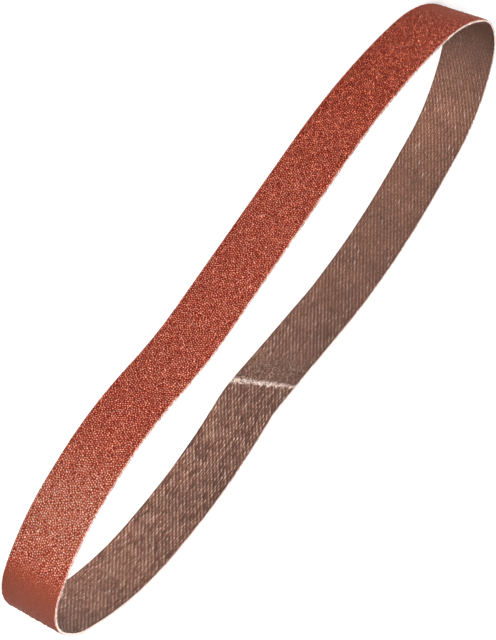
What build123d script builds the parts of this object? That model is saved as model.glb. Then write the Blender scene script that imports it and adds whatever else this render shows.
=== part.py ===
from build123d import *
import os

# Endless narrow abrasive belt for a hobby sanding stick, standing on its lower edge.
#
# +Z runs across the belt, from the edge it stands on to the other. The loop lies in XY with its
# long way along X, and the origin is under the middle of its box. The cloth faces the inside of
# the loop and the grain faces out. The two ends meet in a skived lap joint on the +Y strand.

# Belt, millimetres
belt_width = 12.7  # half an inch, across the belt
belt_length = 356.0  # round the inside of the loop

# Layers, from the inside face outwards
back_size_thickness = 0.06  # resin filler that closes the back of the cloth
cloth_thickness = 0.42  # light jeans-weight cotton twill
make_coat_thickness = 0.06  # resin bed that holds the grain
grain_thickness = 0.10  # one layer of fine aluminium oxide
size_coat_thickness = 0.06  # top resin that locks the grain

# Lap joint: a flat slope through all the layers, with its edges slanting across the belt
lap_length = 6.5  # how far the slope runs along the belt
joint_slant = 4.7  # how far the joint line leans along the belt, over the belt's width
joint_setback = 0.5  # from the end of the straight stretch to the foot of the joint line
film_thickness = 0.05  # glue between the two skived ends

# How the slack loop lies, seen from above: the corner points that the inside face is drawn
# around, clockwise from the right-hand end, and the radius of each bend.
lie_bends = [
    ((79.5, 4.0), 11.0),
    ((84.5, -6.0), 8.0),
    ((71.5, -15.5), 40.0),
    ((49.5, -20.0), 60.0),
    ((28.0, -17.0), 70.0),
    ((-41.0, -22.0), 130.0),
    ((-69.0, -15.5), 32.0),
    ((-83.0, -3.0), 10.5),
    ((-70.5, 14.5), 30.0),
    ((-37.0, 22.0), 110.0),
    ((-16.5, 21.5), 60.0),
    ((17.0, 16.5), 16.0),
    ((35.0, 19.5), 90.0),
    ((65.0, 15.0), 50.0),
]


def loop_line(scale=1.0, centre=(0.0, 0.0)):
    """The inside face of the belt as one closed line of straights and tangent arcs."""
    corners = [(scale * x - centre[0], scale * y - centre[1]) for (x, y), _ in lie_bends]
    radii = [scale * radius for _, radius in lie_bends]
    with BuildLine() as line:
        FilletPolyline(corners, radius=radii, close=True)
    return line.wire()


def loop_face(inside_line, outward):
    """All that lies within the line that runs this far outside the inside face."""
    with BuildSketch() as face:
        add(inside_line)
        make_face()
        if outward > 0:
            offset(amount=outward)
    return face.sketch


# Each layer starts where the one inside it ends.
back_size_outside = back_size_thickness
cloth_outside = back_size_outside + cloth_thickness
make_coat_outside = cloth_outside + make_coat_thickness
grain_outside = make_coat_outside + grain_thickness
belt_outside = grain_outside + size_coat_thickness

# The lie is drawn at its own size, then brought to the belt's length and centred.
lie_scale = belt_length / loop_line().length
lie_middle = loop_face(loop_line(lie_scale), belt_outside).bounding_box().center()
inside_line = loop_line(lie_scale, (lie_middle.X, lie_middle.Y))

# The longest straight of the +Y strand carries the joint. Its foot is near the right-hand end.
straights = inside_line.edges().filter_by(GeomType.LINE)
joint_straight = straights.filter_by(lambda edge: edge.center().Y > 0).sort_by(SortBy.LENGTH)[-1]
straight_end, straight_start = (v.center() for v in joint_straight.vertices().sort_by(Axis.X)[::-1])
along_lap = (straight_start - straight_end).normalized()
outward = along_lap.cross(Vector(0, 0, 1))
joint_plane = Plane(
    origin=straight_end + along_lap * joint_setback,
    x_dir=along_lap,
    z_dir=outward,
)

# The film is a thin slab. On its way out through the layers it runs along the belt by the lap.
film_run = along_lap * lap_length + outward * belt_outside
film_trace = film_thickness * film_run.length / belt_outside

os.makedirs("parts", exist_ok=True)

# Joint adhesive: its inner edge shows on the inside face as a line that leans along the belt
with BuildPart() as joint_adhesive:
    with BuildSketch(joint_plane):
        with BuildLine():
            Polyline(
                (-film_trace / 2, 0),
                (film_trace / 2, 0),
                (joint_slant + film_trace / 2, belt_width),
                (joint_slant - film_trace / 2, belt_width),
                close=True,
            )
        make_face()
    extrude(amount=film_run.length, dir=film_run)
joint_adhesive.part.label = "joint_adhesive"
export_step(joint_adhesive.part, "parts/joint_adhesive.step")


def make_layer(name, inside, outside):
    """One layer right round the loop, open where the joint film runs through it."""
    with BuildPart() as layer:
        with BuildSketch():
            add(loop_face(inside_line, outside))
            add(loop_face(inside_line, inside), mode=Mode.SUBTRACT)
        extrude(amount=belt_width)
        add(joint_adhesive.part, mode=Mode.SUBTRACT)
    layer.part.label = name
    export_step(layer.part, f"parts/{name}.step")


make_layer("back_size", 0, back_size_outside)
make_layer("backing_cloth", back_size_outside, cloth_outside)
make_layer("make_coat", cloth_outside, make_coat_outside)
make_layer("abrasive_grain", make_coat_outside, grain_outside)
make_layer("size_coat", grain_outside, belt_outside)
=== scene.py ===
import math

import bpy
import numpy as np
from mathutils import Matrix, Vector


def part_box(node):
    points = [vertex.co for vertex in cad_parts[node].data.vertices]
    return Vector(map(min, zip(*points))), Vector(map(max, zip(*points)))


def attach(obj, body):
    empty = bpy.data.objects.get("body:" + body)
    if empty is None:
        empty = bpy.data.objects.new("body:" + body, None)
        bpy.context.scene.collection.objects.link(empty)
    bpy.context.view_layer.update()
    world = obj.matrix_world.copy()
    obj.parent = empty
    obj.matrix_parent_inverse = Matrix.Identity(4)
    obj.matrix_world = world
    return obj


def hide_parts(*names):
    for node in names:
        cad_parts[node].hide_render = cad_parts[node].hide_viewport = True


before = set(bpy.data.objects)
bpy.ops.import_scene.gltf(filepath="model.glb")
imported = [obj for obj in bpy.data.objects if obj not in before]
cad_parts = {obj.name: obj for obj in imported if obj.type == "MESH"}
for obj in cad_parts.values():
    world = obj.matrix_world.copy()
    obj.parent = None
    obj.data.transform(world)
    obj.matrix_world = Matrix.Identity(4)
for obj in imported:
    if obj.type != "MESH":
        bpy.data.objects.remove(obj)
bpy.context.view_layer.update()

# An endless abrasive belt, standing on its edge. Every length below is in metres.
MM = 0.001
MICRON = 1e-6

# ---------------------------------------------------------------------------------------------
# The belt's sizes, from the frame where it holds them

BELT_LENGTH = 356 * MM  # round the inside face
BELT_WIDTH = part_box("backing_cloth")[1].z
BACK_SIZE_THICKNESS = 60 * MICRON


def layer_outside(node):
    """How far the outside of this layer lies from the belt's inside face."""
    return BACK_SIZE_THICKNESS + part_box(node)[1].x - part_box("back_size")[1].x


CLOTH_OUTSIDE = layer_outside("backing_cloth")
MAKE_COAT_OUTSIDE = layer_outside("make_coat")
BELT_OUTSIDE = layer_outside("size_coat")

# Twill: 2 over 1, so three warp yarns and three weft yarns to a repeat
WARP_YARNS = 44  # side by side across the belt
WARP_SPACING = BELT_WIDTH / WARP_YARNS
WARPS_PER_RIB = 3
BEADS = 28  # humps of filled floats along each rib, from edge to edge
RIBS = 265  # round the belt
RIB_CROWDING = 0.197  # how much closer than the mean the ribs sit where they sit closest
RIB_CROWDING_PLACE = 12 * MM  # along the belt, where they sit closest
WEFTS_PER_RIB = 3
JOINED_UNTIL = 240 * MM  # along the belt, where the beads begin to part from each other
RESIN_WAVES = 2  # stretches round the belt where the weave is filled deeper
RESIN_LEAN_PLACE = 325 * MM  # along the belt, where one of the open stretches has its middle
# The paler places are painted light: a sheen at 207 mm and lamp light at 348 mm.
LIGHT_AND_TONE_PLACES = [  # along the belt: place, reach, how much paler (or darker, below nought)
    (250 * MM, 26 * MM, -0.06),
    (207 * MM, 10.5 * MM, 0.33),
    (348 * MM, 22 * MM, 0.27),
]
FAR_TURN = (183 * MM, 11 * MM)  # place and reach of the flattened weave at the far turn, which also takes painted shadow
NEAR_TURN = (344 * MM, 18 * MM)  # and of the shallower weave at the near one

# Lap joint
LAP_LENGTH = 6.5 * MM
JOINT_SLANT = 4.7 * MM
JOINT_SETBACK = 0.5 * MM

# How the slack loop lies: the corner points that the inside face is drawn around, clockwise from
# the right-hand end, and the radius of each bend, in millimetres.
LIE_BENDS = [
    ((79.5, 4.0), 11.0),
    ((84.5, -6.0), 8.0),
    ((71.5, -15.5), 40.0),
    ((49.5, -20.0), 60.0),
    ((28.0, -17.0), 70.0),
    ((-41.0, -22.0), 130.0),
    ((-69.0, -15.5), 32.0),
    ((-83.0, -3.0), 10.5),
    ((-70.5, 14.5), 30.0),
    ((-37.0, 22.0), 110.0),
    ((-16.5, 21.5), 60.0),
    ((17.0, 16.5), 16.0),
    ((35.0, 19.5), 90.0),
    ((65.0, 15.0), 50.0),
]


# ---------------------------------------------------------------------------------------------
# The line of the inside face, as straights and tangent arcs


def lie_runs():
    """Straights and arcs in order, as (x, y, heading, length, curvature) of each one's start."""
    corners = [np.array(corner) * MM for corner, _ in LIE_BENDS]
    radii = [radius * MM for _, radius in LIE_BENDS]
    count = len(corners)
    headings = []
    for i in range(count):
        way = corners[(i + 1) % count] - corners[i]
        headings.append(math.atan2(way[1], way[0]))
    turns = []
    tangents = []
    for i in range(count):
        turn = (headings[i] - headings[i - 1] + math.pi) % (2 * math.pi) - math.pi
        turns.append(turn)
        tangents.append(radii[i] * math.tan(abs(turn) / 2))
    runs = []
    for i in range(count):
        before = headings[i - 1]
        start = corners[i] - tangents[i] * np.array([math.cos(before), math.sin(before)])
        runs.append((*start, before, radii[i] * abs(turns[i]), math.copysign(1 / radii[i], turns[i])))
        after = headings[i]
        start = corners[i] + tangents[i] * np.array([math.cos(after), math.sin(after)])
        span = np.linalg.norm(corners[(i + 1) % count] - corners[i])
        runs.append((*start, after, span - tangents[i] - tangents[(i + 1) % count], 0.0))
    return np.array(runs)


RUNS = lie_runs()
LIE_SCALE = BELT_LENGTH / RUNS[:, 3].sum()  # makes the line round the loop as long as the belt
RUNS[:, [0, 1, 3]] *= LIE_SCALE
RUNS[:, 4] /= LIE_SCALE
RUN_STARTS = np.concatenate([[0], np.cumsum(RUNS[:, 3])[:-1]])


def short_way(gap):
    """A distance along the belt, taken the shorter way round the loop."""
    return np.mod(gap + BELT_LENGTH / 2, BELT_LENGTH) - BELT_LENGTH / 2


def inside_face(along):
    """Points of the inside face's line, and the unit normals that face out of the loop."""
    along = np.mod(along, BELT_LENGTH)
    run = np.searchsorted(RUN_STARTS, along, side="right") - 1
    x, y, heading, _, curvature = np.moveaxis(RUNS[run], -1, 0)
    gone = along - RUN_STARTS[run]
    bent = np.abs(curvature) > 0
    safe = np.where(bent, curvature, 1.0)
    now = heading + curvature * gone
    dx = np.where(bent, (np.sin(now) - np.sin(heading)) / safe, gone * np.cos(heading))
    dy = np.where(bent, (np.cos(heading) - np.cos(now)) / safe, gone * np.sin(heading))
    return x + dx, y + dy, -np.sin(now), np.cos(now)


def loop_middle():
    """The middle of the belt's box in plan, which the frame has at its origin."""
    x, y, out_x, out_y = inside_face(np.linspace(0, BELT_LENGTH, 40001))
    x = x + out_x * BELT_OUTSIDE
    y = y + out_y * BELT_OUTSIDE
    return (x.min() + x.max()) / 2, (y.min() + y.max()) / 2


MIDDLE = loop_middle()


def place(along, offset, height):
    """Points in the frame, from the place along the belt, out from its inside face, and height."""
    along, offset, height = np.broadcast_arrays(along, offset, height)
    x, y, out_x, out_y = inside_face(along)
    return np.stack(
        [x + out_x * offset - MIDDLE[0], y + out_y * offset - MIDDLE[1], height], axis=-1
    )


def joint_foot():
    """Where along the belt the joint line meets the lower edge on the inside face."""
    straight = [
        (length, start + length)
        for (x, y, _, length, curvature), start in zip(RUNS, RUN_STARTS)
        if curvature == 0 and y > MIDDLE[1]
    ]
    return max(straight)[1] - JOINT_SETBACK


JOINT_FOOT = joint_foot()


def past_joint(along, height, lap=0.0):
    """How far back from the joint line a point lies, along the belt. The inner ply is back of it."""
    line = JOINT_FOOT - lap - JOINT_SLANT * height / BELT_WIDTH
    return short_way(line - along)


def worn_and_shaded_at(along):
    """1 at the two end turns, where the grain is ground smooth and flat colour in place of its
    painted tip highlights stands in for shade, and 0 away from them.
    """
    worn_and_shaded = np.zeros_like(along)
    for first, last, fade in WORN_AND_SHADED_STRETCHES:
        middle = (first + last) / 2
        past = np.abs(short_way(along - middle)) - (last - first) / 2
        worn_and_shaded = np.maximum(worn_and_shaded, 1 - smooth_step(-fade / 2, fade / 2, past))
    return worn_and_shaded


# ---------------------------------------------------------------------------------------------
# Small tools


def smooth_step(low, high, value):
    t = np.clip((value - low) / (high - low), 0, 1)
    return t * t * (3 - 2 * t)


def bell(along, middle, reach):
    """1 at this place along the belt, fading both ways over about this reach."""
    return np.exp(-(((along - middle) / reach) ** 2))


def soft_noise(seed, along, height, spacing, amount=1.0):
    """Smooth noise over the belt's face, from -amount to amount, that closes round the loop."""
    columns = max(4, round(BELT_LENGTH / spacing))
    rows = max(2, math.ceil(BELT_WIDTH / spacing)) + 2
    values = np.random.default_rng(seed).uniform(-amount, amount, (columns, rows))
    u = np.mod(along, BELT_LENGTH) / BELT_LENGTH * columns
    v = np.clip(height / spacing, 0, rows - 1.001)
    i = np.floor(u).astype(int)
    j = np.floor(v).astype(int)
    fu = smooth_step(0, 1, u - i)
    fv = smooth_step(0, 1, v - j)
    low = values[i % columns, j] * (1 - fu) + values[(i + 1) % columns, j] * fu
    high = values[i % columns, j + 1] * (1 - fu) + values[(i + 1) % columns, j + 1] * fu
    return low * (1 - fv) + high * fv


def round_belt(along, height):
    """The belt's face rolled into a true circle: texture coordinates with no seam and no stretch."""
    radius = BELT_LENGTH / (2 * math.pi)
    angle = along / radius
    return np.stack([radius * np.cos(angle), radius * np.sin(angle), height], axis=-1)


def mesh_object(name, points, faces, smooth=True, attributes=None, vectors=None):
    """An object from an (n, 3) array of points and an (m, k) array of faces."""
    mesh = bpy.data.meshes.new(name)
    sides = faces.shape[1]
    mesh.vertices.add(len(points))
    mesh.vertices.foreach_set("co", points.astype(np.float32).ravel())
    mesh.loops.add(faces.size)
    mesh.loops.foreach_set("vertex_index", faces.astype(np.int32).ravel())
    mesh.polygons.add(len(faces))
    mesh.polygons.foreach_set("loop_start", np.arange(0, faces.size, sides, dtype=np.int32))
    mesh.polygons.foreach_set("use_smooth", np.full(len(faces), smooth))
    mesh.update(calc_edges=True)
    for key, values in (attributes or {}).items():
        layer = mesh.attributes.new(key, "FLOAT", "POINT")
        layer.data.foreach_set("value", values.astype(np.float32).ravel())
    for key, values in (vectors or {}).items():
        layer = mesh.attributes.new(key, "FLOAT_VECTOR", "POINT")
        layer.data.foreach_set("vector", values.astype(np.float32).ravel())
    item = bpy.data.objects.new(name, mesh)
    bpy.context.scene.collection.objects.link(item)
    return item


def ring_faces(columns, rows, slant=0):
    """Quads of a closed ring: the columns go round the loop and the rows round its section.

    Where the columns slant, the last two rows are joined this many columns apart, so that the
    strip that closes the ring runs straight across the belt.
    """
    c, r = np.meshgrid(np.arange(columns), np.arange(rows), indexing="ij")
    shift = np.where(r == rows - 2, slant, 0)
    here = c * rows + r
    up = (c + shift) % columns * rows + (r + 1) % rows
    on = ((c + 1) % columns) * rows + r
    on_up = ((c + 1 + shift) % columns) * rows + (r + 1) % rows
    return np.stack([here, on, on_up, up], axis=-1).reshape(-1, 4)


def facing_out(points, faces):
    """The faces, turned over if the closed mesh is inside out."""
    a, b, c, d = (points[faces[:, k]] for k in range(4))
    volume = np.einsum("ij,ij->i", a, np.cross(b, c)).sum()
    volume += np.einsum("ij,ij->i", a, np.cross(c, d)).sum()
    return faces if volume > 0 else faces[:, ::-1]


def ring_object(name, along, offset, height, attributes=None, slant=0):
    """A closed ring of the belt from (columns, rows) arrays, the rows in order round its section."""
    points = place(along, offset, height)
    columns, rows = points.shape[:2]
    points = points.reshape(-1, 3)
    faces = facing_out(points, ring_faces(columns, rows, slant))
    around = round_belt(np.broadcast_to(along, (columns, rows)), height)
    return mesh_object(name, points, faces, True, attributes, {"belt": around.reshape(-1, 3)})


def linear(red, green, blue):
    """A colour written as it looks, 0 to 255, as the shader takes it."""
    def one(value):
        value /= 255
        return value / 12.92 if value <= 0.04045 else ((value + 0.055) / 1.055) ** 2.4

    return (one(red), one(green), one(blue), 1.0)


# ---------------------------------------------------------------------------------------------
# Twill on the inside face


def rib_count(along):
    """How many ribs lie between the start of the belt and here, counted along the lower edge."""
    turn = 2 * math.pi / BELT_LENGTH
    swing = np.sin(turn * (along - RIB_CROWDING_PLACE)) + math.sin(turn * RIB_CROWDING_PLACE)
    return RIBS * (along / BELT_LENGTH + RIB_CROWDING / (2 * math.pi) * swing)


COUNT_TABLE_ALONG = np.linspace(0, BELT_LENGTH, 20001)
COUNT_TABLE = rib_count(COUNT_TABLE_ALONG)


def along_at(count):
    """The place along the belt at this count of ribs."""
    rounds = np.floor(count / RIBS)
    return np.interp(count - rounds * RIBS, COUNT_TABLE, COUNT_TABLE_ALONG) + rounds * BELT_LENGTH


def make_back_size():
    """The ribbed inside face: slanting columns follow the ribs, four rows of points to a hump."""
    rng = np.random.default_rng(11)
    per_rib = 3
    columns = RIBS * per_rib
    rows = BEADS * 4 + 1
    column = np.arange(columns)[:, None]
    row = np.arange(rows)[None, :]
    height = row * BELT_WIDTH / (rows - 1) + 0 * column
    count = column / per_rib + height / (WARP_SPACING * WARPS_PER_RIB)
    along = along_at(count)
    phase = (column % per_rib) / per_rib + 0 * row

    # Each rib is a row of humps where the resin joins the floats of neighbouring warp yarns.
    # They differ in length and in how proud the resin has left them, and up to JOINED_UNTIL they
    # run into each other.
    rib = 0.5 + 0.5 * np.cos(2 * math.pi * phase)
    rib_index = column // per_rib
    drawn = BEADS + 8  # more than reach across the belt, since some are short
    lengths = rng.uniform(0.7, 1.3, (RIBS, drawn))
    ends = np.cumsum(lengths, axis=1) - rng.uniform(0, 3, (RIBS, 1))
    places = row[0] * BEADS / (rows - 1)
    bead_place = np.array([np.interp(places, own_ends, np.arange(drawn)) for own_ends in ends])
    bead_place = bead_place[rib_index[:, 0]]
    bead = 0.5 - 0.5 * np.cos(2 * math.pi * bead_place)
    bead_index = np.clip(bead_place.astype(int), 0, drawn - 1)
    uneven = 0.24 + 0.22 * smooth_step(250 * MM, 300 * MM, along)
    own = rng.normal(0, 1, (RIBS, drawn))[rib_index, bead_index]
    proud = np.clip(0.90 + uneven * own, 0.1, 1.9)
    joined = 0.26 * (1 - smooth_step(JOINED_UNTIL, JOINED_UNTIL + 45 * MM, along))
    relief = rib * (0.06 + 0.6 * joined + (1 - 1.5 * joined) * bead**1.7 * proud)
    relief *= rng.uniform(0.7, 1.3, (columns, rows))
    along = along + rng.uniform(-0.06, 0.06, (columns, rows)) * MM
    along = along + soft_noise(15, along, height, 0.9 * MM, 0.10 * MM)

    # Some stretches of the belt took more resin, which fills the weave and hides its ribs.
    wave = np.cos(2 * math.pi * RESIN_WAVES * (along - RESIN_LEAN_PLACE) / BELT_LENGTH)
    far_turn = bell(along, *FAR_TURN)
    open_weave = 0.76 + 0.24 * wave + soft_noise(14, along, height, 6 * MM, 0.14)
    open_weave *= np.maximum(1 - 1.1 * far_turn**0.6, 0.06)
    open_weave *= 1 - 0.38 * bell(along, *NEAR_TURN)
    lap = past_joint(along, height)
    pressed = smooth_step(0, 0.6 * MM, lap) * (1 - smooth_step(5 * MM, 12 * MM, lap))
    open_weave *= 1 - 0.65 * pressed
    # The crest value colours the ribs pale and the valleys dark, partly as painted shade.
    crest = np.clip(0.20 + (relief / 1.1 - 0.20) * open_weave, 0, 1)
    relief *= open_weave
    step = smooth_step(-0.15 * MM, 0.1 * MM, lap) * (1 - smooth_step(3 * MM, 8 * MM, lap))
    offset = 80 * MICRON - 85 * MICRON * relief - 110 * MICRON * step
    offset += soft_noise(12, along, height, 0.7 * MM, 9 * MICRON)
    offset += soft_noise(13, along, height, 5 * MM, 12 * MICRON)

    # Painted shade: the face is a little darker towards the upper edge, standing in for the floor's
    # bounce light on its lower part, and darkest in a thin line along both rims.
    shade_and_tone = 1.0 - 0.20 * height / BELT_WIDTH
    shade_and_tone *= 1.0 - 0.40 * smooth_step(BELT_WIDTH - 0.55 * MM, BELT_WIDTH - 0.15 * MM, height)
    shade_and_tone *= 1.0 - 0.35 * smooth_step(-0.5 * MM, -0.1 * MM, -height)
    for middle, reach, paler in LIGHT_AND_TONE_PLACES:
        shade_and_tone *= 1.0 + paler * bell(along, middle, reach)
    # Painted shadow darkens the far turn, where the front run shades it.
    shade_and_tone *= (1.0 - 0.58 * far_turn) * (1.0 - 0.24 * pressed)

    # Bare cotton shows on odd floats, and on many beside the joint line.
    bare = rng.uniform(0, 1, (RIBS, drawn))[rib_index, bead_index]
    bare += soft_noise(16, along, height, 4 * MM, 0.05)
    beside_joint = np.exp(-np.abs(lap) / (1.1 * MM))
    tint = smooth_step(0.94, 1.0, bare + 0.20 * beside_joint) * rib**2 * bead * (1 - far_turn)

    edge = np.where((row == 0) | (row == rows - 1), 1, 0)
    ragged = rng.uniform(0, 45 * MICRON, (columns, rows)) * edge
    height = np.where(row == 0, height + ragged, np.where(row == rows - 1, height - ragged, height))

    # Two more rows close the ring behind the face.
    inset = 60 * MICRON
    back = 190 * MICRON
    along = np.concatenate([along, along[:, -1:], along[:, :1]], axis=1)
    offset = np.concatenate([offset, np.full((columns, 2), back)], axis=1)
    closing = np.broadcast_to([BELT_WIDTH - inset, inset], (columns, 2))
    height = np.concatenate([height, closing], axis=1)

    pad = np.zeros((columns, 2))
    shown = {
        "crest": np.concatenate([crest, pad], axis=1),
        "tint": np.concatenate([tint, pad], axis=1),
        "shade_and_tone": np.concatenate([shade_and_tone, pad + 1], axis=1),
        "pressed": np.concatenate([pressed, pad], axis=1),
    }
    slant = round(per_rib * WARP_YARNS / WARPS_PER_RIB)
    piece = ring_object("back_size_twill", along, offset, height, shown, slant)
    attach(piece, "root")
    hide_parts("back_size")
    piece.data.materials.append(twill_material())


# ---------------------------------------------------------------------------------------------
# Raw cotton at the two cut edges


def make_backing_cloth():
    """The cloth's core, with the cut ends of its weft yarns along both edges."""
    rng = np.random.default_rng(21)
    per_tuft = 4
    tufts = RIBS * WEFTS_PER_RIB
    columns = tufts * per_tuft
    column = np.arange(columns)
    along = along_at(column / per_tuft / WEFTS_PER_RIB)[:, None]
    tuft = column // per_tuft
    bulge = np.sin(math.pi * ((column % per_tuft) + 0.5) / per_tuft)[:, None]

    # From the inside face to the grain: side, shoulder, four rows over the top, shoulder, side
    spread = MAKE_COAT_OUTSIDE + 25 * MICRON
    across = np.array([130 * MICRON, -15 * MICRON, 5 * MICRON, 0.33 * spread, 0.64 * spread,
                       spread - 20 * MICRON, spread, CLOTH_OUTSIDE - 20 * MICRON])
    drop = np.array([500, 90, 20, 0, 0, 20, 100, 420]) * MICRON

    def edge(seed, tucked):
        """Offsets, and how far inside the cut plane each point lies."""
        own = np.random.default_rng(seed)
        sink = own.uniform(0, 70 * MICRON, tufts)[tuft][:, None] * (drop < 95 * MICRON)
        gap = 45 * MICRON * (1 - bulge) * (drop < 95 * MICRON)
        rough = own.uniform(-22, 22, (columns, len(across))) * MICRON
        sway = own.uniform(-28, 28, (columns, len(across))) * MICRON * (drop < 400 * MICRON)
        return np.maximum(across + sway, tucked), np.maximum(drop + sink + gap + rough, 0)

    top_offset, top_drop = edge(22, 90 * MICRON)
    low_offset, low_drop = edge(23, 110 * MICRON)
    offset = np.concatenate([top_offset, low_offset[:, ::-1]], axis=1)
    height = np.concatenate([BELT_WIDTH - top_drop, low_drop[:, ::-1]], axis=1)
    shade = rng.uniform(0, 1, tufts)[tuft][:, None] + np.zeros_like(offset)
    piece = ring_object("backing_cloth_edges", along + 0 * offset, offset, height, {"tint": shade})
    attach(piece, "root")
    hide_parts("backing_cloth")
    piece.data.materials.append(cotton_material())


def tubes(name, start, way, length, radius, droop, seed):
    """Thin three-sided fibres, each bent once, from arrays of starts, directions and lengths."""
    rng = np.random.default_rng(seed)
    count = len(start)
    way = way / np.linalg.norm(way, axis=1, keepdims=True)
    other = np.cross(way, rng.normal(0, 1, (count, 3)))
    other /= np.linalg.norm(other, axis=1, keepdims=True)
    third = np.cross(way, other)
    stations = np.array([0, 0.5, 1.0])
    middle = start[:, None] + way[:, None] * (length[:, None] * stations)[..., None]
    middle += other[:, None] * (droop[:, None] * length[:, None] * stations**2)[..., None]
    thin = radius[:, None] * np.array([1.0, 0.85, 0.35])
    corners = []
    for k in range(3):
        angle = 2 * math.pi * k / 3
        side = other * math.cos(angle) + third * math.sin(angle)
        corners.append(middle + side[:, None] * thin[..., None])
    points = np.stack(corners, axis=2).reshape(count, 9, 3)
    points[..., 2] = np.maximum(points[..., 2], thin.repeat(3, axis=1) * 0.5)
    faces = []
    for station in range(2):
        for k in range(3):
            a, b = station * 3 + k, station * 3 + (k + 1) % 3
            faces.append([a, b, b + 3])
            faces.append([a, b + 3, a + 3])
    faces += [[2, 1, 0], [6, 7, 8]]
    faces = (np.array(faces)[None] + 9 * np.arange(count)[:, None, None]).reshape(-1, 3)
    return mesh_object(name, points.reshape(-1, 3), faces, True)


def along_face(along, offset, height):
    """Points of the belt, the way along it there, and the way into the loop."""
    start = place(along, offset, height)
    ahead = place(along + 0.1 * MM, offset, height) - start
    ahead = ahead / np.linalg.norm(ahead, axis=1, keepdims=True)
    inward = np.stack([ahead[:, 1], -ahead[:, 0], np.zeros(len(ahead))], axis=1)
    return start, ahead, inward


def make_edge_fibres():
    """Loose cotton fibres that stand out of both cut edges."""
    rng = np.random.default_rng(31)
    count = 5200
    along = rng.uniform(0, BELT_LENGTH, count)
    across = rng.uniform(20 * MICRON, CLOTH_OUTSIDE, count)
    top = rng.uniform(0, 1, count) < 0.62
    height = np.where(top, BELT_WIDTH - 80 * MICRON, 80 * MICRON)
    start, ahead, inward = along_face(along, across, height)
    rise = np.where(top, rng.uniform(0.35, 1.0, count), rng.uniform(-0.12, 0.3, count))
    way = ahead * rng.normal(0, 0.75, count)[:, None]
    way = way + inward * rng.normal(0, 0.55, count)[:, None]
    way[:, 2] = rise
    length = rng.gamma(2.2, 0.075, count) * MM + 0.08 * MM
    piece = tubes("edge_fibres", start, way, np.minimum(length, 0.7 * MM),
                  rng.uniform(9, 17, count) * MICRON, rng.normal(0, 0.35, count), 32)
    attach(piece, "root")
    piece.data.materials.append(fibre_material())


# ---------------------------------------------------------------------------------------------
# Grain and resin on the outside


GRAIN_COLUMNS = 720  # main grains round the belt
GRAIN_ROWS = 26  # and across it
GRAIN_RADIUS = 0.225 * MM
SMALL_COLUMNS = 1180  # places round the belt where a small grain may find room
SMALL_ROWS = 38  # and across it
SMALL_RADIUS = 0.14 * MM
FOOT_SETBACK = 0.05 * MM  # how far the brittle coat has chipped back from the lower cut edge
TOP_SETBACK = 0.13 * MM  # and from the upper one
SHEEN_PLACE = 31 * MM  # along the belt, where a painted sheen makes the grain palest
SHEEN_REACH = 11 * MM
RED_FROM = 145 * MM  # along the belt, where the grain is at its reddest
RED_FADE = 45 * MM  # and the length before it over which it reddens
# The two turns are drawn ground smooth, and their flat colour in place of painted tip highlights is
# painted shade.
WORN_AND_SHADED_STRETCHES = [  # along the belt: from, to, and the length over which each fades
    (0 * MM, 18.6 * MM, 7 * MM),
    (172 * MM, 189 * MM, 14 * MM),
]
WORN_AND_SHADED_COLOUR = (121, 61, 43)  # of the smooth grain on the turns, as it looks, a flat colour that stands in for their shade
FAR_TURN_LIT_COLOUR = (183, 93, 62)  # and at the far turn, paler there as painted light


def grain_stretches(along):
    """How far the grain is ground smooth and shaded, how strong its painted sheen, and how red it is
    at each place along the belt, from 0 to 1.
    """
    # A painted sheen, strongest at SHEEN_PLACE.
    painted_sheen = bell(along, SHEEN_PLACE, SHEEN_REACH)
    red = smooth_step(RED_FROM - RED_FADE, RED_FROM, along)
    return worn_and_shaded_at(along), painted_sheen, red


def grain_places():
    """Grains strewn at random, then nudged apart where they crowd: place and height, by cell.

    Each cell of a grid starts with one grain. Lengths here are in cells until the end.
    """
    rng = np.random.default_rng(41)
    column, row = np.meshgrid(np.arange(GRAIN_COLUMNS), np.arange(GRAIN_ROWS), indexing="ij")
    jitter = rng.uniform(-0.5, 0.5, (2, GRAIN_COLUMNS, GRAIN_ROWS))
    across = column + 0.5 * (row % 2) + 0.5 + jitter[0]
    up = row + 0.5 + jitter[1]
    steps = [(a, b) for a in range(-2, 3) for b in range(-2, 3) if (a, b) != (0, 0)]
    for _ in range(12):
        push_across = np.zeros_like(across)
        push_up = np.zeros_like(up)
        for step_column, step_row in steps:
            near_row = np.clip(row + step_row, 0, GRAIN_ROWS - 1)
            near = (column + step_column) % GRAIN_COLUMNS
            gap_across = across - across[near, near_row]
            gap_across -= GRAIN_COLUMNS * np.round(gap_across / GRAIN_COLUMNS)
            gap_up = up - up[near, near_row]
            gap = np.hypot(gap_across, gap_up) + 1e-6
            crowding = np.where(near_row == row + step_row, np.clip(1.02 - gap, 0, 1), 0) / gap
            push_across += 0.25 * crowding * gap_across
            push_up += 0.25 * crowding * gap_up
        across += push_across
        up = np.clip(up + push_up, 0.3, GRAIN_ROWS - 0.3)
    room = BELT_WIDTH - FOOT_SETBACK - TOP_SETBACK
    along = across * BELT_LENGTH / GRAIN_COLUMNS
    height = FOOT_SETBACK + up * room / GRAIN_ROWS
    size = np.clip(rng.normal(1, 0.1, along.shape), 0.6, 1.5)
    return along, height, size


def grains_around(along, height, grain_along, grain_height):
    """The grains in the cells round each point: their column, row, and distance each way."""
    cell_length = BELT_LENGTH / GRAIN_COLUMNS
    cell_column = np.floor(along / cell_length).astype(int)
    cell_row = np.clip(np.floor(height / BELT_WIDTH * GRAIN_ROWS), 0, GRAIN_ROWS - 1).astype(int)
    for step_column in (-2, -1, 0, 1):
        for step_row in (-1, 0, 1):
            near = (cell_column + step_column) % GRAIN_COLUMNS
            near_row = np.clip(cell_row + step_row, 0, GRAIN_ROWS - 1)
            gap = short_way(grain_along[near, near_row] - along)
            yield near, near_row, gap, grain_height[near, near_row] - height


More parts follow.
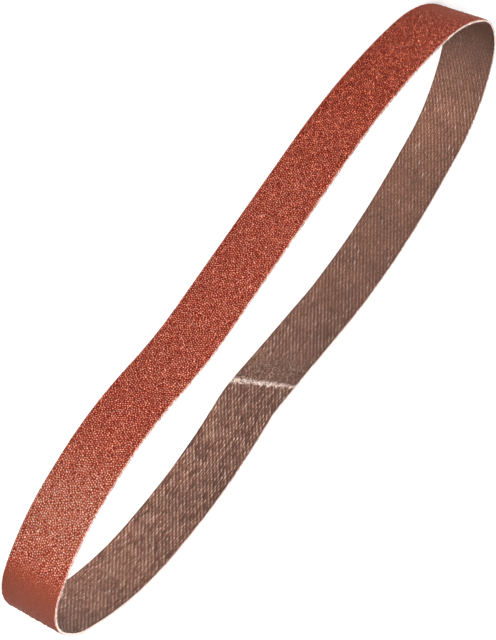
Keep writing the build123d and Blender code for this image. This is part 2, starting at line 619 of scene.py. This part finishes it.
def make_grains(name, seed, along, height, size, radius, level, tip_highlight_strength):
    """Angular grains, each a closed six-sided crystal of its own, half sunk in the resin."""
    rng = np.random.default_rng(seed)
    along = along.ravel()
    height = height.ravel()
    size = size.ravel()
    kept = np.abs(past_joint(along, height, LAP_LENGTH)) > 0.16 * MM
    along, height, size = along[kept], height[kept], size[kept]
    count = len(along)
    worn_and_shaded, painted_sheen, red = grain_stretches(along)
    offset = MAKE_COAT_OUTSIDE + rng.normal(level, 12, count) * MICRON - 75 * MICRON * worn_and_shaded
    centre = place(along, offset, height)

    # Five corners: one at each end and three round the waist
    shape = np.array([[0, 0, 1.15], [0, 0, -1.15], [1, 0, 0], [-0.5, 0.87, 0], [-0.5, -0.87, 0]])
    corners = shape[None] * rng.uniform(0.88, 1.12, (count, 5, 1))
    corners *= rng.uniform(0.86, 1.14, (count, 1, 3))
    corners += rng.normal(0, 0.10, (count, 5, 3))
    corners *= (size * radius)[:, None, None]
    spin = rng.normal(0, 1, (count, 4))
    w, x, y, z = (spin / np.linalg.norm(spin, axis=1, keepdims=True)).T
    turn = np.stack([
        np.stack([1 - 2 * (y * y + z * z), 2 * (x * y - z * w), 2 * (x * z + y * w)], axis=-1),
        np.stack([2 * (x * y + z * w), 1 - 2 * (x * x + z * z), 2 * (y * z - x * w)], axis=-1),
        np.stack([2 * (x * z - y * w), 2 * (y * z + x * w), 1 - 2 * (x * x + y * y)], axis=-1),
    ], axis=1)
    corners = np.einsum("nij,nkj->nki", turn, corners)
    points = centre[:, None] + corners
    chipped = rng.uniform(0.4, 1.2, (count, 5))
    points[..., 2] = np.clip(points[..., 2], FOOT_SETBACK * chipped,
                             BELT_WIDTH - TOP_SETBACK * chipped)

    # Painted highlight and shade: each grain's corners that face out of the belt are painted pale and
    # those that face in dark, less so on the turns.
    _, _, out_x, out_y = inside_face(along)
    lean = corners[..., 0] * out_x[:, None] + corners[..., 1] * out_y[:, None]
    tip_highlight = tip_highlight_strength * np.clip(0.5 + 0.5 * lean / (size * radius)[:, None], 0, 1)
    tip_highlight += (0.48 - tip_highlight) * 0.8 * worn_and_shaded[:, None]

    cut = np.array([[0, 2, 3], [0, 3, 4], [0, 4, 2], [1, 3, 2], [1, 4, 3], [1, 2, 4]])
    faces = (cut[None] + 5 * np.arange(count)[:, None, None]).reshape(-1, 3)
    tint = np.repeat(rng.uniform(0, 1, count) * (1 - 0.7 * worn_and_shaded) + 0.35 * worn_and_shaded, 5)
    around = round_belt(np.repeat(along, 5), np.repeat(height, 5))
    shown = {
        "tint": tint,
        "tip_highlight": tip_highlight,
        "worn_and_shaded": np.repeat(worn_and_shaded, 5),
        "painted_sheen": np.repeat(painted_sheen, 5),
        "red": np.repeat(red, 5),
    }
    piece = mesh_object(name, points.reshape(-1, 3), faces, True, shown, {"belt": around})
    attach(piece, "root")
    piece.data.materials.append(grain_material())
    return piece


def make_abrasive_grain(along, height, size):
    """The main grains, and smaller ones wedged in the gaps between them."""
    grains = make_grains("abrasive_grains", 42, along, height, size, GRAIN_RADIUS, 45, 1.0)
    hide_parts("abrasive_grain")

    rng = np.random.default_rng(43)
    column, row = np.meshgrid(np.arange(SMALL_COLUMNS), np.arange(SMALL_ROWS), indexing="ij")
    jitter = rng.uniform(-0.4, 0.4, (2, SMALL_COLUMNS, SMALL_ROWS))
    small_along = (column + 0.5 * (row % 2) + 0.5 + jitter[0]) * BELT_LENGTH / SMALL_COLUMNS
    room = BELT_WIDTH - FOOT_SETBACK - TOP_SETBACK
    small_height = FOOT_SETBACK + (row + 0.5 + jitter[1]) * room / SMALL_ROWS
    small_height = np.clip(small_height, FOOT_SETBACK, BELT_WIDTH - TOP_SETBACK)
    nearest = np.full_like(small_along, 1.0)
    for _, _, gap, rise in grains_around(small_along, small_height, along, height):
        nearest = np.minimum(nearest, np.hypot(gap, rise))
    free = nearest > 0.17 * MM
    small_size = np.clip(rng.normal(1, 0.25, small_along.shape), 0.6, 1.6)[free]
    make_grains("small_grains", 44, small_along[free], small_height[free], small_size,
                SMALL_RADIUS, 28, 0.58)


def make_size_coat(grain_along, grain_height, grain_size):
    """The resin skin, which climbs each grain and sags between them."""
    columns = 1430
    rows = 52
    column = np.arange(columns)[:, None]
    row = np.arange(rows)[None, :]
    along = column * BELT_LENGTH / columns + 0 * row
    coat_width = BELT_WIDTH - FOOT_SETBACK - TOP_SETBACK
    height = FOOT_SETBACK + row * coat_width / (rows - 1) + 0 * column
    uneven = soft_noise(53, along, height * 0, 0.4 * MM, 45 * MICRON)
    height = np.where(row == 0, height + uneven, np.where(row == rows - 1, height - uneven, height))

    # Wet resin climbs the grains near each point.
    climb = np.zeros_like(along)
    for near, near_row, gap, rise in grains_around(along, height, grain_along, grain_height):
        reach = 180 * MICRON * grain_size[near, near_row]
        climb = np.maximum(climb, np.exp(-(gap**2 + rise**2) / reach**2))
    worn_and_shaded, painted_sheen, red = grain_stretches(along)
    offset = MAKE_COAT_OUTSIDE + 45 * MICRON + (85 - 40 * worn_and_shaded) * MICRON * climb
    offset += soft_noise(51, along, height, 0.5 * MM, 10 * MICRON)
    offset += soft_noise(52, along, height, 6 * MM, 12 * MICRON)
    line = np.abs(past_joint(along, height, LAP_LENGTH))
    offset -= 55 * MICRON * (1 - smooth_step(0.05 * MM, 0.25 * MM, line))

    # The skin turns over both cut edges and closes against the make coat.
    back = MAKE_COAT_OUTSIDE - 10 * MICRON
    closing = np.full((columns, 2), back)
    along = np.concatenate([along, along[:, :2]], axis=1)
    offset = np.concatenate([offset, closing], axis=1)
    height = np.concatenate([height, height[:, -1:], height[:, :1]], axis=1)
    pad = np.zeros((columns, 2))
    shown = {
        "climb": np.concatenate([climb + (0.6 - climb) * 0.7 * worn_and_shaded, pad], axis=1),
        "worn_and_shaded": np.concatenate([worn_and_shaded, pad], axis=1),
        "red": np.concatenate([red, pad], axis=1),
        "painted_sheen": np.concatenate([painted_sheen, pad], axis=1),
    }
    piece = ring_object("size_coat_resin", along, offset, height, shown)
    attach(piece, "root")
    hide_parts("size_coat")
    piece.data.materials.append(resin_material())


# ---------------------------------------------------------------------------------------------
# The skived joint line on the inside face


def make_joint_line(rng):
    """A torn pale line: two tufts of cotton to each warp yarn."""
    tufts = WARP_YARNS * 2
    height = (np.arange(tufts) + 0.5) * BELT_WIDTH / tufts
    middle = JOINT_FOOT - JOINT_SLANT * height / BELT_WIDTH + rng.normal(0, 0.16, tufts) * MM
    reach = rng.uniform(0.35, 0.95, tufts) * MM * (1.3 - 0.4 * height / BELT_WIDTH)
    half_width = rng.uniform(0.055, 0.12, tufts) * MM
    lift = rng.uniform(50, 190, tufts) * MICRON
    rounds = 7
    sides = 8
    t = np.linspace(-1, 1, rounds)
    swell = np.sqrt(np.maximum(1 - (t * 0.97) ** 2, 0))
    angle = 2 * math.pi * np.arange(sides) / sides
    along = middle[:, None, None] + reach[:, None, None] * t[None, :, None]
    along = along + rng.normal(0, 0.018, (tufts, rounds, sides)) * MM
    z = height[:, None, None] + (half_width[:, None] * swell)[..., None] * np.cos(angle)
    out = 20 * MICRON - (lift[:, None] * swell)[..., None] * np.sin(angle)
    out = out + rng.normal(0, 9, (tufts, rounds, sides)) * MICRON
    z = np.clip(z, 0, BELT_WIDTH)
    points = place(along + 0 * z, out, z).reshape(tufts, rounds * sides, 3)

    quads = []
    for k in range(rounds - 1):
        for s in range(sides):
            a, b = k * sides + s, k * sides + (s + 1) % sides
            quads.append([a, b, b + sides, a + sides])
    for k in (0, (rounds - 1) * sides):
        for s in (0, 2, 4):
            end = [k, k + s + 1, k + s + 2, k + (s + 3) % sides]
            quads.append(end if k else end[::-1])
    faces = (np.array(quads)[None] + rounds * sides * np.arange(tufts)[:, None, None]).reshape(-1, 4)
    tint = np.repeat(rng.uniform(0, 1, tufts), rounds * sides)
    around = round_belt(along + 0 * z, z).reshape(-1, 3)
    piece = mesh_object("joint_line", points.reshape(-1, 3), faces, True, {"tint": tint},
                        {"belt": around})
    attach(piece, "root")
    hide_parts("joint_adhesive")
    piece.data.materials.append(torn_cotton_material())


def make_joint_fibres(rng):
    """Loose fibres among the tufts of the joint line."""
    count = 420
    z = rng.uniform(0.1 * MM, BELT_WIDTH - 0.1 * MM, count)
    along = JOINT_FOOT - JOINT_SLANT * z / BELT_WIDTH + rng.normal(0, 0.16, count) * MM
    start, ahead, inward = along_face(along, -60 * MICRON, z)
    way = ahead * rng.normal(0, 1, count)[:, None]
    way = way + inward * rng.uniform(-0.05, 0.25, count)[:, None]
    way[:, 2] = rng.normal(0, 0.3, count)
    fibres = tubes("joint_fibres", start, way, rng.uniform(0.2, 0.75, count) * MM,
                   rng.uniform(10, 18, count) * MICRON, rng.normal(0, 0.3, count), 62)
    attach(fibres, "root")
    fibres.data.materials.append(fibre_material())


# ---------------------------------------------------------------------------------------------
# Materials


class Nodes:
    """A material's node tree, with short ways to add and join nodes."""

    def __init__(self, name):
        self.material = bpy.data.materials.new(name)
        self.material.use_nodes = True
        self.tree = self.material.node_tree
        self.shader = self.tree.nodes["Principled BSDF"]

    def add(self, kind, **settings):
        node = self.tree.nodes.new(kind)
        for key, value in settings.items():
            setattr(node, key, value)
        return node

    def join(self, source, target):
        self.tree.links.new(source, target)

    def attribute(self, name, output="Fac"):
        return self.add("ShaderNodeAttribute", attribute_name=name).outputs[output]

    def belt_noise(self, scale, detail, squeeze=1.0):
        """Noise over the belt's face. A squeeze above 1 draws its features out along the belt."""
        mapping = self.add("ShaderNodeMapping")
        mapping.inputs["Scale"].default_value = (1, 1, squeeze)
        self.join(self.attribute("belt", "Vector"), mapping.inputs["Vector"])
        return self.noise(mapping.outputs["Vector"], scale, detail)

    def place_noise(self, scale, detail):
        """Noise through the space that the piece stands in."""
        where = self.add("ShaderNodeNewGeometry")
        return self.noise(where.outputs["Position"], scale, detail)

    def noise(self, source, scale, detail):
        node = self.add("ShaderNodeTexNoise")
        node.inputs["Scale"].default_value = scale
        node.inputs["Detail"].default_value = detail
        self.join(source, node.inputs["Vector"])
        return node.outputs["Fac"]

    def ramp(self, source, *stops):
        """Colours at places from 0 to 1."""
        node = self.add("ShaderNodeValToRGB")
        elements = node.color_ramp.elements
        while len(elements) < len(stops):
            elements.new(0.5)
        for element, (place_on_ramp, colour) in zip(elements, stops):
            element.position = place_on_ramp
            element.color = colour
        self.join(source, node.inputs["Fac"])
        return node.outputs["Color"]

    def mix(self, factor, first, second, blend="MIX"):
        node = self.add("ShaderNodeMix", data_type="RGBA", blend_type=blend)
        for value, socket in ((factor, 0), (first, 6), (second, 7)):
            if isinstance(value, (int, float, tuple)):
                node.inputs[socket].default_value = value
            else:
                self.join(value, node.inputs[socket])
        return node.outputs[2]

    def bump(self, source, distance, strength=1.0):
        node = self.add("ShaderNodeBump")
        node.inputs["Distance"].default_value = distance
        node.inputs["Strength"].default_value = strength
        self.join(source, node.inputs["Height"])
        self.join(node.outputs["Normal"], self.shader.inputs["Normal"])

    def finish(self, colour, roughness, specular=0.5):
        self.join(colour, self.shader.inputs["Base Color"])
        if isinstance(roughness, float):
            self.shader.inputs["Roughness"].default_value = roughness
        else:
            self.join(roughness, self.shader.inputs["Roughness"])
        self.shader.inputs["Specular IOR Level"].default_value = specular
        return self.material


def grey(value):
    return (value, value, value, 1.0)


def twill_material():
    """Brown resin on cotton twill: pale on the ribs and dark between them, the dark partly painted
    shade in the valleys, with odd pale floats.
    """
    n = Nodes("brown_filled_twill")
    # Pale crests, and dark valleys that are partly painted shade.
    ribs = n.ramp(
        n.attribute("crest"),
        (0.0, linear(80, 43, 31)),
        (0.2, linear(142, 96, 77)),
        (0.5, linear(216, 168, 144)),
        (1.0, linear(255, 230, 210)),
    )
    stained = n.mix(0.6, ribs, n.ramp(n.belt_noise(190, 5), (0.32, grey(0.62)), (0.62, grey(1.0))),
                    "MULTIPLY")
    stained = n.mix(0.85, stained, n.ramp(n.belt_noise(3600, 1), (0.36, grey(0.4)),
                                          (0.64, grey(1.25))), "MULTIPLY")
    speckled = n.mix(n.attribute("tint"), stained, linear(240, 214, 198))
    lint = n.ramp(n.belt_noise(3000, 2), (0.55, grey(0.0)), (0.68, grey(1.0)))
    lint = n.mix(1.0, lint, n.attribute("pressed"), "MULTIPLY")
    linted = n.mix(lint, speckled, linear(226, 184, 160))
    colour = n.mix(1.0, linted, n.attribute("shade_and_tone"), "MULTIPLY")
    n.bump(n.belt_noise(5200, 4, 2.5), 30 * MICRON, 0.5)
    return n.finish(colour, 0.58, 0.5)


def cotton_material():
    """Raw pale cotton, a little brown where resin has soaked in."""
    n = Nodes("raw_cotton")
    tufts = n.ramp(n.attribute("tint"), (0.0, linear(228, 190, 175)),
                   (0.6, linear(246, 220, 208)), (1.0, linear(255, 242, 235)))
    colour = n.mix(0.2, tufts, n.ramp(n.belt_noise(900, 3), (0.35, linear(232, 200, 182)),
                                      (0.6, grey(1.0))), "MULTIPLY")
    n.bump(n.belt_noise(9000, 4), 25 * MICRON, 0.6)
    return n.finish(colour, 0.9, 0.2)


def torn_cotton_material():
    """Cotton torn up through the finish: some tufts white, some still brown with resin."""
    n = Nodes("torn_cotton")
    tufts = n.ramp(n.attribute("tint"), (0.0, linear(196, 156, 136)),
                   (0.35, linear(248, 226, 212)), (1.0, linear(255, 250, 244)))
    patches = n.ramp(n.belt_noise(3500, 0), (0.41, linear(108, 68, 52)), (0.50, grey(1.0)))
    colour = n.mix(0.9, tufts, patches, "MULTIPLY")
    n.bump(n.belt_noise(9000, 4), 30 * MICRON, 0.7)
    return n.finish(colour, 0.9, 0.2)


def fibre_material():
    """Single cotton fibres, varied from one to the next."""
    n = Nodes("cotton_fibre")
    colour = n.ramp(n.place_noise(2500, 2), (0.35, linear(244, 228, 218)),
                    (0.65, linear(255, 248, 243)))
    return n.finish(colour, 0.85, 0.2)


def along_belt(n, colour, paler, redder):
    """The colour as it changes along the belt: paler under a painted sheen, redder, and ground smooth
    on both turns, where flat colour stands in for shade.
    """
    red = n.attribute("red")
    colour = n.mix(n.attribute("painted_sheen"), colour, n.mix(1.0, colour, paler, "MULTIPLY"))
    colour = n.mix(red, colour, n.mix(1.0, colour, redder, "MULTIPLY"))
    rubbed_and_shaded = n.mix(n.attribute("worn_and_shaded"), grey(0.0), grey(0.80))
    # The turns take a flat colour without painted highlights as painted shade, paler at the far turn
    # as painted light.
    bare = n.mix(red, linear(*WORN_AND_SHADED_COLOUR), linear(*FAR_TURN_LIT_COLOUR))
    return n.mix(rubbed_and_shaded, colour, bare)


def grain_material():
    """Red-brown resin-coated aluminium oxide, each grain its own shade, with a soft shine, a painted
    highlight on its outward corners and painted shade on its inward ones.
    """
    n = Nodes("coated_grain")
    # Painted highlight and shade: outward corners pale, inward corners dark.
    height = n.ramp(n.attribute("tip_highlight"), (0.1, linear(80, 5, 0)),
                    (0.42, linear(140, 36, 14)), (0.68, linear(247, 136, 103)),
                    (0.90, linear(255, 210, 186)))
    tint = n.attribute("tint")
    own = n.ramp(tint, (0.0, (0.56, 0.45, 0.43, 1)), (1.0, grey(1.0)))
    colour = n.mix(1.0, height, own, "MULTIPLY")
    colour = n.mix(0.3, colour, n.ramp(n.belt_noise(4300, 2), (0.37, (0.28, 0.08, 0.05, 1)),
                                       (0.63, (1.4, 1.36, 1.36, 1))), "MULTIPLY")
    # Under the painted sheen the grains are most alike, and they differ most where they are red.
    paler = n.ramp(tint, (0.0, (1.00, 1.76, 2.16, 1)), (1.0, (0.76, 1.22, 1.46, 1)))
    redder = n.ramp(tint, (0.0, (0.68, 0.50, 0.42, 1)), (1.0, (1.27, 0.97, 0.80, 1)))
    colour = along_belt(n, colour, paler, redder)
    rough = n.ramp(n.belt_noise(1800, 2), (0.3, grey(0.34)), (0.7, grey(0.50)))
    return n.finish(colour, rough, 0.25)


def resin_material():
    """The red-brown skin: dark with painted shade in the gaps between grains, lighter where it climbs
    them.
    """
    n = Nodes("red_brown_resin")
    # Painted shade darkens the resin in the gaps between grains.
    climb_and_gap_shade = n.ramp(n.attribute("climb"), (0.1, linear(112, 20, 5)),
                      (0.9, linear(168, 64, 37)))
    colour = n.mix(0.4, climb_and_gap_shade, n.ramp(n.belt_noise(1200, 4), (0.3, grey(0.6)), (0.7, grey(1.0))),
                   "MULTIPLY")
    colour = along_belt(n, colour, (1.42, 3.1, 4.2, 1), (0.98, 0.78, 0.66, 1))
    n.bump(n.belt_noise(6000, 4), 40 * MICRON, 0.6)
    return n.finish(colour, 0.5, 0.2)


def make_coat_material():
    """The bed under the grain, seen as a thin dark line at the cut edges."""
    n = Nodes("dark_make_coat")
    lumps = n.place_noise(2200, 4)
    colour = n.ramp(lumps, (0.3, linear(104, 44, 34)), (0.7, linear(150, 72, 56)))
    n.bump(lumps, 30 * MICRON, 0.6)
    return n.finish(colour, 0.55, 0.4)


# ---------------------------------------------------------------------------------------------
# Floor, light and camera


def make_floor():
    """A pale floor that shows as white to the camera, with the belt's soft shadow on it.

    What the camera adds to it grows from 0.25 to 0.7 m out, where the lamps hardly reach.
    """
    reach = 4.0
    corners = reach * np.array([[-1, -1, 0], [1, -1, 0], [1, 1, 0], [-1, 1, 0]])
    floor = mesh_object("floor", corners, np.array([[0, 1, 2, 3]]), False)
    material = bpy.data.materials.new("pale_floor")
    material.use_nodes = True
    tree = material.node_tree
    tree.nodes.clear()
    output = tree.nodes.new("ShaderNodeOutputMaterial")
    path = tree.nodes.new("ShaderNodeLightPath")
    matt = tree.nodes.new("ShaderNodeBsdfDiffuse")
    matt.inputs["Color"].default_value = (0.66, 0.66, 0.66, 1)
    lift = tree.nodes.new("ShaderNodeEmission")
    where = tree.nodes.new("ShaderNodeNewGeometry")
    away = tree.nodes.new("ShaderNodeVectorMath")
    away.operation = "LENGTH"
    far = tree.nodes.new("ShaderNodeMapRange")
    far.inputs["From Min"].default_value = 0.25
    far.inputs["From Max"].default_value = 0.70
    far.inputs["To Min"].default_value = 0.50
    far.inputs["To Max"].default_value = 1.0
    tree.links.new(where.outputs["Position"], away.inputs[0])
    tree.links.new(away.outputs["Value"], far.inputs["Value"])
    tree.links.new(far.outputs["Result"], lift.inputs["Strength"])
    both = tree.nodes.new("ShaderNodeAddShader")
    pick = tree.nodes.new("ShaderNodeMixShader")
    tree.links.new(matt.outputs[0], both.inputs[0])
    tree.links.new(lift.outputs[0], both.inputs[1])
    tree.links.new(path.outputs["Is Camera Ray"], pick.inputs["Fac"])
    tree.links.new(matt.outputs[0], pick.inputs[1])
    tree.links.new(both.outputs[0], pick.inputs[2])
    tree.links.new(pick.outputs[0], output.inputs["Surface"])
    floor.data.materials.append(material)


def make_world():
    """White where it is seen or mirrored, and a plain soft light on the belt."""
    world = bpy.data.worlds.new("studio")
    bpy.context.scene.world = world
    world.use_nodes = True
    tree = world.node_tree
    tree.nodes.clear()
    output = tree.nodes.new("ShaderNodeOutputWorld")
    path = tree.nodes.new("ShaderNodeLightPath")
    seen = tree.nodes.new("ShaderNodeBackground")
    seen.inputs["Color"].default_value = (1, 1, 1, 1)
    seen.inputs["Strength"].default_value = 1.0
    light = tree.nodes.new("ShaderNodeBackground")
    light.inputs["Strength"].default_value = 0.20
    either = tree.nodes.new("ShaderNodeMath")
    either.operation = "MAXIMUM"
    any_of = tree.nodes.new("ShaderNodeMath")
    any_of.operation = "MAXIMUM"
    pick = tree.nodes.new("ShaderNodeMixShader")
    tree.links.new(path.outputs["Is Camera Ray"], either.inputs[0])
    tree.links.new(path.outputs["Is Glossy Ray"], either.inputs[1])
    tree.links.new(either.outputs[0], any_of.inputs[0])
    tree.links.new(path.outputs["Is Transmission Ray"], any_of.inputs[1])
    tree.links.new(any_of.outputs[0], pick.inputs["Fac"])
    tree.links.new(light.outputs[0], pick.inputs[1])
    tree.links.new(seen.outputs[0], pick.inputs[2])
    tree.links.new(pick.outputs[0], output.inputs["Surface"])


def area_lamp(name, azimuth, elevation, distance, size, level):
    """A square soft box that points at the middle of the belt: degrees, then metres.

    The level is how bright it alone makes a white card that faces it there, where 1 is white.
    """
    data = bpy.data.lights.new(name, "AREA")
    data.size = size
    data.energy = level * math.pi**2 * distance**2
    lamp = bpy.data.objects.new(name, data)
    bpy.context.scene.collection.objects.link(lamp)
    around = math.radians(azimuth)
    up = math.radians(elevation)
    way = Vector((math.cos(up) * math.cos(around), math.cos(up) * math.sin(around), math.sin(up)))
    lamp.location = way * distance
    lamp.rotation_euler = way.to_track_quat("Z", "Y").to_euler()
    return lamp


def make_lights():
    """A key lamp near the camera, a weak fill to one side, and a broad one behind the belt."""
    for lamp in (
        ("key", -46, 46, 0.38, 0.12, 1.17),
        ("fill", -140, 24, 0.70, 0.35, 0.16),
        ("back", 105, 50, 0.80, 0.60, 0.64),
    ):
        area_lamp(*lamp)


def make_camera():
    """The camera looks down at the belt from its right-hand front, and is rolled on its side."""
    data = bpy.data.cameras.new("camera")
    data.sensor_width = 36.0
    data.lens = 93.2
    data.clip_start = 0.01
    camera = bpy.data.objects.new("camera", data)
    bpy.context.scene.collection.objects.link(camera)
    heading = math.radians(117.26)
    down = math.radians(26.63)
    roll = math.radians(113.41)
    ahead = Vector((math.cos(down) * math.cos(heading), math.cos(down) * math.sin(heading),
                    -math.sin(down)))
    level = ahead.to_track_quat("-Z", "Y").to_matrix().to_4x4()
    camera.matrix_world = (
        Matrix.Translation((143.78 * MM, -265.95 * MM, 154.00 * MM))
        @ level
        @ Matrix.Rotation(roll, 4, "Z")
    )
    bpy.context.scene.camera = camera


make_camera()
make_floor()
make_world()
make_lights()

make_back_size()
make_backing_cloth()
make_edge_fibres()
grains = grain_places()
make_abrasive_grain(*grains)
make_size_coat(*grains)
joint_rng = np.random.default_rng(61)
make_joint_line(joint_rng)
make_joint_fibres(joint_rng)
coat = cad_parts["make_coat"]
coat.data.materials.clear()
coat.data.materials.append(make_coat_material())

bpy.context.scene.view_settings.view_transform = "Standard"
